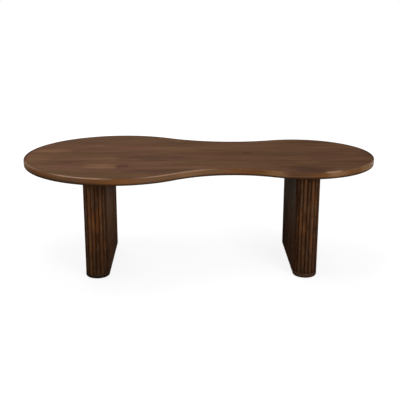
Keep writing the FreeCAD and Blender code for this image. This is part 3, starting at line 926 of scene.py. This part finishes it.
def stained_strips(wood, place, tone, apart, figure, fibre):
    """The stain of each strip, with amber and ashen streaks."""
    broad = wood.noise(place, LEG_BROAD, detail=2.0, w=apart)
    mixed = wood.weighted((figure, 0.60), (broad, 0.45), (fibre, 0.15), (tone, 0.26))
    colour = wood.steps(mixed, LEG_TONES, smooth=True)
    amber = wood.noise(place, LEG_AMBER, w=wood.math("ADD", apart, AMBER_SEED))
    colour = wood.mix(wood.ease(amber, 0.50, 0.68, 0.0, 0.48), colour, AMBER_STREAK)
    ashen = wood.noise(place, LEG_ASHEN, w=wood.math("ADD", apart, ASHEN_SEED))
    return wood.mix(wood.ease(ashen, 0.52, 0.70, 0.0, 0.45), colour, ASHEN_STREAK)


def crest_highlights_groove_dirt_and_shade(wood, colour, place, depth, figure):
    """Crests lightened by a painted highlight, and dirt with painted shade in the grooves, both of them
    unevenly.
    """
    # A painted highlight along the crests
    highlight = wood.product(wood.ease(depth, 0.05, 0.40, 0.24, 0.0), wood.ease(figure, 0.40, 0.62))
    colour = wood.mix(highlight, colour, CREST_HIGHLIGHT)
    # Dirt and painted shade gather in the grooves
    uneven = wood.noise(place, LEG_DIRT, w=DIRT_SEED)
    groove_dirt_shade = wood.weighted((uneven, 1.1), base=depth)
    return wood.mix(wood.ease(groove_dirt_shade, 0.95, 1.75, 0.0, 0.55), colour, GROOVE_DIRT_AND_SHADE)


def painted_light_on_sides(wood, colour, x, z):
    """The straight sides greyed towards their tops by painted light, most of all the right leg's left side.
    """
    low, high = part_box("right_plinth")
    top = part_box("right_reeds")[1].z
    facing_left = wood.ease(x, low.x + SIDE_LIGHT_MARGIN, high.x - SIDE_LIGHT_MARGIN, 0.43, 0.0)
    strength = wood.weighted((facing_left, on_right_leg(wood, x)), base=0.42)
    painted_lift = wood.product(wood.ease(z, SIDE_LIGHT_FROM, top), wood.attribute("flat_side"), strength)
    return wood.mix(painted_lift, colour, SIDE_TOP_LIGHT)


def leg_wood():
    """The top's kind of stain on upright strips, each of its own tone, with painted highlights on the
    crests, dirt and painted shade in the grooves, painted light up the sides and painted shade towards the
    floor.
    """
    wood = Shader("leg_wood")
    place = wood.place()
    x, _, z = wood.split(place)
    tone = wood.attribute("reed_tone")
    depth = wood.attribute("groove_depth")
    apart = wood.math("MULTIPLY", tone, STRIP_SEEDS)
    figure = wood.noise(place, LEG_FIGURE, detail=4.0, w=apart, distortion=0.6)
    fibre = wood.noise(place, LEG_FIBRE, detail=2.0, w=apart)
    pores = open_pores(wood, place, LEG_PORES)

    colour = stained_strips(wood, place, tone, apart, figure, fibre)
    colour = crest_highlights_groove_dirt_and_shade(wood, colour, place, depth, figure)
    colour = wood.mix(wood.product(pores, PORE_STRENGTH), colour, LEG_PORE_BROWN)
    # Painted light towards the tops of the straight sides
    colour = painted_light_on_sides(wood, colour, x, z)
    # Painted shade, deepening towards the floor
    colour = wood.mix(wood.ease(z, 0.0, LOW_SHADE_TO, 0.42, 0.0), colour, LOW_SHADE)
    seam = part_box("left_plinth")[1].z
    colour = wood.mix(wood.ease(z, seam + SEAM_FULL, seam + SEAM_END, 0.3, 0.0), colour, SEAM_DIRT)

    wood.bump(wood.weighted((fibre, 0.4), (pores, -0.6), (figure, 0.4)), GRAIN_RELIEF)
    rough = wood.weighted((depth, 0.12), (fibre, 0.12), base=0.38)
    return wood.finish(colour, rough, specular=0.0, coat=LEG_COAT, coat_roughness=COAT_ROUGHNESS)


def foot_wood():
    """The legs' stain on the plain feet, with the grain along Y, a painted highlight on the upper edge and
    painted shade on the lower rounding.
    """
    wood = Shader("foot_wood")
    place = wood.place()
    low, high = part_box("left_plinth")
    x, _, z = wood.split(place)
    figure = wood.noise(place, FOOT_FIGURE, detail=4.0, distortion=0.2)
    fibre = wood.noise(place, FOOT_FIBRE, detail=2.0)
    colour = wood.steps(wood.weighted((figure, 0.8), (fibre, 0.2)), FOOT_TONES, smooth=True)
    colour = wood.mix(wood.product(on_right_leg(wood, x), 0.26), colour, PALER_FOOT)
    # A painted highlight along the upper edge
    highlight = wood.across(z, high.z, -PLINTH_EASE, FOOT_HIGHLIGHT_BAND, 0.0, 0.45)
    colour = wood.mix(highlight, colour, FOOT_HIGHLIGHT)
    # Painted shade on the lower rounding
    low_rounding_shade = wood.across(z, low.z, PLINTH_ROUND, FOOT_SHADE_BAND, 0.6, 0.0)
    colour = wood.mix(low_rounding_shade, colour, FOOT_SHADE)
    wood.bump(wood.weighted((fibre, 0.5), (figure, 0.5)), FOOT_RELIEF)
    rough = wood.weighted((fibre, 0.12), base=0.40)
    return wood.finish(colour, rough, specular=0.0, coat=LEG_COAT, coat_roughness=COAT_ROUGHNESS)


# The core's woods, the metals and the felt

# Grains in a metre along X, Y and Z
CORE_FIGURE = (80.0, 80.0, 4.0)
CORE_FIBRE = (1200.0, 1200.0, 18.0)
POWDER_PEEL = (900.0, 900.0, 900.0)
POWDER_DUST = (14.0, 14.0, 14.0)
METAL_TARNISH = (120.0, 120.0, 120.0)
METAL_MARKS = (500.0, 500.0, 4000.0)
FELT_HAIR = (2200.0, 2200.0, 2200.0)

CORE_RELIEF = 0.00015
POWDER_RELIEF = 0.00008
METAL_RELIEF = 0.00003
FELT_RELIEF = 0.0004

# The thickness of one light and one dark ply together
PLY_PAIR = 0.003

POWDER_TONES = ((0.35, paint(26, 26, 27)), (0.70, paint(44, 43, 42)))
FELT_TONES = ((0.35, paint(38, 29, 22)), (0.70, paint(70, 56, 44)))


def plain_wood(name, light, dark, ply_pair=None):
    """Bare wood of the hidden pieces, upright grain, with plies across X if asked."""
    wood = Shader(name)
    place = wood.place()
    figure = wood.noise(place, CORE_FIGURE, detail=4.0)
    fibre = wood.noise(place, CORE_FIBRE, detail=2.0)
    mixed = wood.weighted((figure, 0.7), (fibre, 0.3))
    colour = wood.steps(mixed, [(0.35, dark), (0.65, light)], smooth=True)
    if ply_pair:
        x = wood.split(place)[0]
        band = wood.math("SINE", wood.math("MULTIPLY", x, 2 * math.pi / ply_pair))
        colour = wood.mix(wood.ease(band, 0.0, 0.4, 0.0, 0.35), colour, dark)
    wood.bump(fibre, CORE_RELIEF)
    rough = wood.weighted((fibre, 0.2), base=0.55)
    return wood.finish(colour, rough, specular=0.2)


def powder_coat():
    """Black powder-coated steel with a fine orange-peel skin."""
    steel = Shader("black_steel")
    place = steel.place()
    dust = steel.noise(place, POWDER_DUST, detail=4.0)
    colour = steel.steps(dust, POWDER_TONES, smooth=True)
    steel.bump(steel.noise(place, POWDER_PEEL, detail=2.0), POWDER_RELIEF)
    rough = steel.weighted((dust, 0.25), base=0.40)
    return steel.finish(colour, rough, specular=0.4)


def plated_metal(name, light, dark, roughness):
    """Turned and plated metal with fine marks and a little tarnish."""
    metal = Shader(name)
    place = metal.place()
    tarnish = metal.noise(place, METAL_TARNISH, detail=4.0)
    colour = metal.steps(tarnish, [(0.35, dark), (0.65, light)], smooth=True)
    metal.bump(metal.noise(place, METAL_MARKS, detail=2.0), METAL_RELIEF)
    rough = metal.weighted((tarnish, 0.25), base=roughness)
    return metal.finish(colour, rough, metallic=1.0)


def felt():
    """Pressed dark felt with a hairy, fully matt surface."""
    cloth = Shader("glide_felt")
    hair = cloth.noise(cloth.place(), FELT_HAIR, detail=4.0, distortion=1.5)
    colour = cloth.steps(hair, FELT_TONES, smooth=True)
    cloth.bump(hair, FELT_RELIEF)
    return cloth.finish(colour, 0.95, specular=0.1)


# The pieces

def build_top(material):
    """The panel with full rounds on both edges and a bore over each insert."""
    low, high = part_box("top_panel")
    outline = peanut()
    rim_full = -TOP_ARRIS - RIM_WIDTH * RIM_FULL_SHARE
    rim_end = -TOP_ARRIS - RIM_WIDTH
    profile = rounded_profile(low.z, high.z, UNDER_ARRIS, TOP_ARRIS)
    # The rim takes the place of the flat strip beside the upper rounding
    profile[-1:] = [(rim_full, high.z), (rim_end, high.z)]
    name, node = "wood_top", "top_panel"
    piece = new_piece(name, lambda work: slab(work, outline, profile), material, node)

    # The rim gets painted shade where the edge faces the rear, and end grain shows where it faces along X
    to_rear = [share_between(normal.y, *REAR_FACING) for _, normal in outline]
    end_face = [share_between(abs(normal.x), *END_FACING) for _, normal in outline]
    rims, arrises = [], []
    for out, height in profile:
        on_rim = float(out > rim_end)
        on_arris = float(height > high.z - TOP_ARRIS * ARRIS_SHARE and out > rim_full)
        rims += [on_rim * share for share in to_rear]
        arrises += [on_arris] * len(outline)
    point_values(piece, "rear_rim_shade", rims)
    point_values(piece, "end_face", end_face * len(profile))
    point_values(piece, "upper_arris", arrises)

    def drills(work):
        radius = INSERT_DIAMETER / 2
        for middle in node_middles("top_inserts"):
            lathe(work, middle, [(radius, low.z - OVERRUN), (radius, low.z + INSERT_DEPTH)])

    cut(piece, drills)


def build_foot(side, material):
    """The plain foot of one leg, countersunk for its screws."""
    name, node = f"{side}_foot", f"{side}_plinth"
    low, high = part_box(node)
    profile = rounded_profile(low.z, high.z, PLINTH_ROUND, PLINTH_EASE)
    outline = round_ended((low.x + high.x) / 2, (high.x - low.x) / 2)
    piece = new_piece(name, lambda work: slab(work, outline, profile), material, node)
    shank = SCREW_DIAMETER / 2 + SCREW_CLEARANCE
    head = SCREW_HEAD / 2 + SCREW_CLEARANCE
    levels = [(head + OVERRUN, low.z - OVERRUN), (shank, low.z + head - shank), (shank, high.z + OVERRUN)]

    def drills(work):
        for middle in node_middles("plinth_screws"):
            if low.x < middle[0] < high.x:
                lathe(work, middle, levels)

    cut(piece, drills)


def build_bolts(material):
    """Hexagon-head bolts, their heads chamfered below."""
    low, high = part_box("plate_bolts")
    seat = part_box("plate_washers")[0].z
    shank, flat = BOLT_DIAMETER / 2, BOLT_HEAD_FLATS / 2
    chamfer = flat * BOLT_CHAMFER_SHARE
    head = [(flat - chamfer, low.z), (flat, low.z + chamfer * BOLT_CHAMFER_RISE_SHARE), (flat, seat)]
    corners = [(reach / math.cos(math.pi / BOLT_HEAD_SIDES), height) for reach, height in head]

    def bolts(work):
        for middle in node_middles("plate_bolts"):
            lathe(work, middle, corners, sides=BOLT_HEAD_SIDES)
            lathe(work, middle, [(shank, seat), (shank, high.z)])

    new_piece("hexagon_bolts", bolts, material, "plate_bolts")


def build_washers(material):
    """Flat washers round the bolts, their outer rims eased below."""
    low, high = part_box("plate_washers")
    outside, bore = WASHER_DIAMETER / 2, WASHER_BORE / 2
    ease = (high.z - low.z) * WASHER_EASE_SHARE
    section = [(bore, low.z), (outside - ease, low.z), (outside, low.z + ease)]
    section += [(outside, high.z), (bore, high.z)]
    sides = WIDE_TURNED_SIDES

    def washers(work):
        for middle in node_middles("plate_bolts"):
            rings = [circle(middle, reach, height, sides, start=0.0) for reach, height in section]
            skin(work, rings + rings[:1], capped=False)
        bmesh.ops.remove_doubles(work, verts=work.verts, dist=TOUCHING)

    new_piece("round_washers", washers, material, "plate_washers")


def build_screws(material):
    """The feet's countersunk screws, each with a cross recess in its head."""
    low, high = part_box("plinth_screws")
    middles = node_middles("plinth_screws")
    head, shank = SCREW_HEAD / 2, SCREW_DIAMETER / 2
    levels = [(head, low.z), (shank, low.z + head - shank), (shank, high.z - head)]
    levels.append((shank * SCREW_TIP_SHARE, high.z))
    corners = cross(head * RECESS_REACH_SHARE, head * RECESS_HALF_WIDTH_SHARE)
    mouth, floor = (1.0, low.z - OVERRUN), (RECESS_FLOOR_SHARE, low.z + head * RECESS_DEPTH_SHARE)

    def screws(work):
        for middle in middles:
            lathe(work, middle, levels)

    def recesses(work):
        for middle in middles:
            rings = []
            for share, height in (mouth, floor):
                rings.append([(middle[0] + c.x * share, middle[1] + c.y * share, height) for c in corners])
            skin(work, rings)

    piece = new_piece("cross_screws", screws, material, "plinth_screws")
    cut(piece, recesses)


def build_glides(material):
    """Round felt glides with a soft lower rim."""
    low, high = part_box("floor_glides")
    radius = GLIDE_DIAMETER / 2
    soft = (high.z - low.z) * GLIDE_SOFT_SHARE
    levels = [(radius - soft, low.z), (radius, low.z + soft), (radius, high.z)]

    def glides(work):
        for middle in node_middles("floor_glides"):
            lathe(work, middle, levels, sides=WIDE_TURNED_SIDES)

    new_piece("felt_glides", glides, material, "floor_glides")


def dress(nodes, material):
    """Give CAD nodes that stay a finish of their own."""
    for node in nodes:
        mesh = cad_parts[node].data
        mesh.materials.clear()
        mesh.materials.append(material)


def dress_core(ply, pine, dowel):
    """Finishes for the boards, blocks, posts and dowels inside the legs."""
    for side in SIDES:
        dress([f"{side}_{face}_panel" for face in ("inner", "outer")], ply)
        dress([f"{side}_{level}_rail" for level in ("top", "middle", "bottom")], pine)
        dress([f"{side}_{end}_post" for end in ("front", "rear")], pine)
    dress(["rail_dowels"], dowel)


# The studio

# The camera, as fitted to the photograph's outlines of the top and the legs
CAMERA_PLACE = (-0.0367, -2.8127, 1.0690)
CAMERA_PITCH = math.radians(16.555)
CAMERA_YAW = math.radians(0.807)
CAMERA_ROLL = math.radians(0.111)
CAMERA_LENS = 70.997
CAMERA_SENSOR = 36.0

# Softboxes, all aimed at the table's middle: name, place, width, height and power
TABLE_MIDDLE = (0.0, 0.0, 0.25)
SOFTBOXES = (
    ("key", (1.7, -2.8, 1.3), 1.6, 1.2, 76),
    ("fill", (-2.8, -1.1, 0.9), 1.6, 1.2, 24),
    ("overhead", (-0.3, 0.1, 2.6), 2.2, 1.6, 26),
    ("rear", (-0.9, 2.6, 1.6), 2.0, 1.2, 30),
)
AMBIENT = 0.18

# The floor glows a little less near the table, where it takes the shadow, than far from it
FLOOR_SIZE = 14.0
FLOOR_GREY = 0.22
GLOW_NEAR, GLOW_NEAR_REACH = 0.86, 1.0
GLOW_FAR, GLOW_FAR_REACH = 1.0, 2.6


def add_camera():
    """The photograph's view."""
    ahead = Vector((
        math.sin(CAMERA_YAW) * math.cos(CAMERA_PITCH),
        math.cos(CAMERA_YAW) * math.cos(CAMERA_PITCH),
        -math.sin(CAMERA_PITCH),
    ))
    level = Vector((math.cos(CAMERA_YAW), -math.sin(CAMERA_YAW), 0))
    upright = level.cross(ahead)
    right = level * math.cos(CAMERA_ROLL) + upright * math.sin(CAMERA_ROLL)
    up = upright * math.cos(CAMERA_ROLL) - level * math.sin(CAMERA_ROLL)
    lens = bpy.data.cameras.new("camera")
    lens.lens = CAMERA_LENS
    lens.sensor_width = CAMERA_SENSOR
    camera = placed("camera", lens)
    turned = Matrix((right, up, -ahead)).transposed().to_4x4()
    camera.matrix_world = Matrix.Translation(CAMERA_PLACE) @ turned
    bpy.context.scene.camera = camera


def add_softbox(name, place, width, height, power):
    """A soft rectangular lamp aimed at the table's middle."""
    light = bpy.data.lights.new(name, "AREA")
    light.shape = "RECTANGLE"
    light.size = width
    light.size_y = height
    light.energy = power
    lamp = placed(name, light)
    lamp.location = place
    lamp.rotation_euler = (Vector(TABLE_MIDDLE) - Vector(place)).to_track_quat("-Z", "Y").to_euler()


def seen_directly(nodes):
    """1 on rays from the camera and on those that a mirror or glass sends on, else 0."""
    path = nodes.node("ShaderNodeLightPath").outputs
    return nodes.greatest(path["Is Camera Ray"], path["Is Glossy Ray"], path["Is Transmission Ray"])


def add_world():
    """Plain grey light from all round, which looks white where it is seen."""
    world = bpy.data.worlds.new("studio")
    world.use_nodes = True
    nodes = Nodes(world.node_tree)
    background = world.node_tree.nodes["Background"]
    strength = nodes.ease(seen_directly(nodes), 0.0, 1.0, AMBIENT, 1.0)
    nodes.fill(background, {"Color": (1, 1, 1, 1), "Strength": strength})
    bpy.context.scene.world = world


def pale_floor():
    """Grey to the lamps, so that it takes the table's shadow, with a glow that is only seen."""
    floor = Shader("pale_floor")
    away = floor.length(floor.place())
    glow = floor.ease(away, GLOW_NEAR_REACH, GLOW_FAR_REACH, GLOW_NEAR, GLOW_FAR, kind="LINEAR")
    seen_glow = floor.product(seen_directly(floor), glow)
    floor.fill(floor.surface, {"Emission Color": (1, 1, 1, 1), "Emission Strength": seen_glow})
    return floor.finish((FLOOR_GREY, FLOOR_GREY, FLOOR_GREY, 1), 1.0, specular=0.0)


def add_floor():
    """A flat sheet under the table."""
    mesh = bpy.data.meshes.new("floor")
    half = FLOOR_SIZE / 2
    corners = [(-half, -half, 0), (half, -half, 0), (half, half, 0), (-half, half, 0)]
    mesh.from_pydata(corners, [], [(0, 1, 2, 3)])
    mesh.materials.append(pale_floor())
    floor = placed("floor", mesh)
    floor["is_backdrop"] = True


build_top(top_wood())
strips, foot = leg_wood(), foot_wood()
for side in SIDES:
    reed_cladding(side, strips)
    build_foot(side, foot)

zinc = plated_metal("zinc_steel", light=paint(150, 151, 153), dark=paint(112, 113, 115), roughness=0.38)
brass = plated_metal("insert_brass", light=paint(206, 170, 104), dark=paint(160, 126, 70), roughness=0.30)
build_bolts(zinc)
build_washers(zinc)
build_screws(zinc)
build_glides(felt())
dress(["plate_screws"], zinc)
dress(["top_inserts"], brass)
dress([f"{side}_mounting_plate" for side in SIDES], powder_coat())

ply = plain_wood("core_plywood", light=paint(222, 196, 152), dark=paint(190, 158, 112), ply_pair=PLY_PAIR)
pine = plain_wood("core_wood", light=paint(226, 198, 150), dark=paint(190, 152, 100))
dowel = plain_wood("dowel_wood", light=paint(230, 204, 160), dark=paint(200, 166, 118))
dress_core(ply, pine, dowel)

add_camera()
add_world()
add_floor()
for softbox in SOFTBOXES:
    add_softbox(*softbox)
bpy.context.scene.view_settings.view_transform = "Standard"

boxes = {"cad": CAD_BOX, "visual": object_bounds()}
{name: [list(corner) for corner in box] for name, box in boxes.items()}
